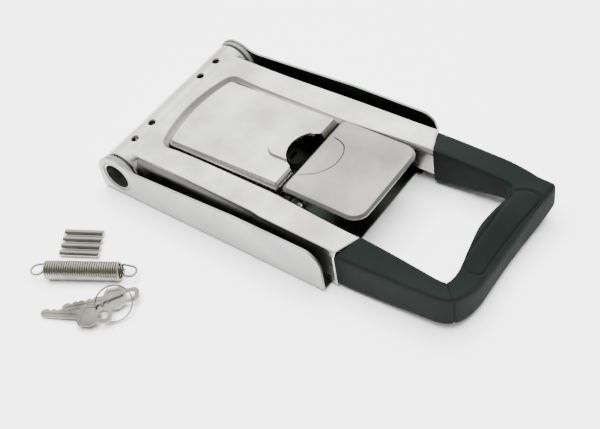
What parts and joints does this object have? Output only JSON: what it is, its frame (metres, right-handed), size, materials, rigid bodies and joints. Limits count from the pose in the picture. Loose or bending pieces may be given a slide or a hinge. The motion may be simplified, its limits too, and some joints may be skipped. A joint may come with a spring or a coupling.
{
  "type": "push-button lever latch",
  "caption": "Sheet-steel lever latch with a tubular hub, a rubber-covered grip, a push plate that draws hooks clear of the tray, a key lock, and loose pins, spring and keys.",
  "frame": {"origin": "on the tray's mounting face, straight below the middle of the hub axis", "axes": "+X from the hub towards the grip, +Y along the hub axis, +Z away from the mounting face"},
  "size_m": [0.3088, 0.2759, 0.041],
  "materials": {
    "polished_steel": "polished sheet",
    "satin_steel": "satin sheet",
    "zinc_steel": "plated",
    "spring_steel": "drawn wire",
    "key_metal": "plated",
    "lock_brass": "turned",
    "bush_plastic": "moulded",
    "grip_rubber": "moulded matte"
  },
  "bodies": {
    "base": {"tray_floor": "satin_steel", "near_wall": "satin_steel", "far_wall": "satin_steel", "near_bush": "bush_plastic", "far_bush": "bush_plastic", "near_striker": "zinc_steel", "far_striker": "zinc_steel", "striker_rivets": "zinc_steel"},
    "lever": {"lever_frame": "polished_steel", "hub_sleeve": "polished_steel", "hub_tube": "satin_steel", "grip_core": "zinc_steel", "core_pins": "zinc_steel", "rubber_grip": "grip_rubber", "lock_cover": "polished_steel", "cover_straps": "zinc_steel", "strap_rivets": "zinc_steel", "pivot_pin": "zinc_steel", "pivot_collars": "polished_steel", "push_spring": "spring_steel", "hook_spring": "spring_steel", "lock_bracket": "zinc_steel", "bracket_rivets": "zinc_steel", "lock_cylinder": "lock_brass", "cylinder_nut": "zinc_steel"},
    "push": {"push_plate": "polished_steel"},
    "hooks": {"hook_shaft": "zinc_steel", "near_hook": "zinc_steel", "far_hook": "zinc_steel", "shaft_clips": "spring_steel"},
    "plug": {"cylinder_plug": "lock_brass", "lock_cam": "zinc_steel", "cam_screw": "zinc_steel"},
    "pins": {"fixing_pins": "polished_steel"},
    "spring": {"extension_spring": "spring_steel"},
    "key_set": {"first_key": "key_metal", "second_key": "key_metal", "key_ring": "key_metal"}
  },
  "joints": [
    {"name": "lever_swing", "type": "hinge", "parent": "base", "child": "lever", "pos_m": [0, 0, 0.0195], "axis": [0, -1, 0], "range_deg": [0, 110]},
    {"name": "push", "type": "hinge", "parent": "lever", "child": "push", "pos_m": [0.143, 0, 0.027], "axis": [0, 1, 0], "range_deg": [-5, 9], "stiffness_Nm_per_rad": 3, "deforming": ["push_spring"]},
    {"name": "hook_turn", "type": "hinge", "parent": "lever", "child": "hooks", "pos_m": [0.124, 0, 0.021], "axis": [0, 1, 0], "range_deg": [-13.6, 7.6], "deforming": ["hook_spring"]},
    {"name": "lock_turn", "type": "hinge", "parent": "lever", "child": "plug", "pos_m": [0.113, 0, 0.0285], "axis": [0.5, 0, 0.866], "range_deg": [-90, 0]},
    {"name": "pins_lift", "type": "slide", "parent": "base", "child": "pins", "axis": [0, 0, 1], "range_m": [0, 0.06]},
    {"name": "spring_lift", "type": "slide", "parent": "base", "child": "spring", "axis": [0, 0, 1], "range_m": [0, 0.06]},
    {"name": "keys_lift", "type": "slide", "parent": "base", "child": "key_set", "axis": [0, 0, 1], "range_m": [0, 0.06]}
  ],
  "couplings": [
    {"joint": "hook_turn", "follows": "push", "ratio": -1.5}
  ]
}
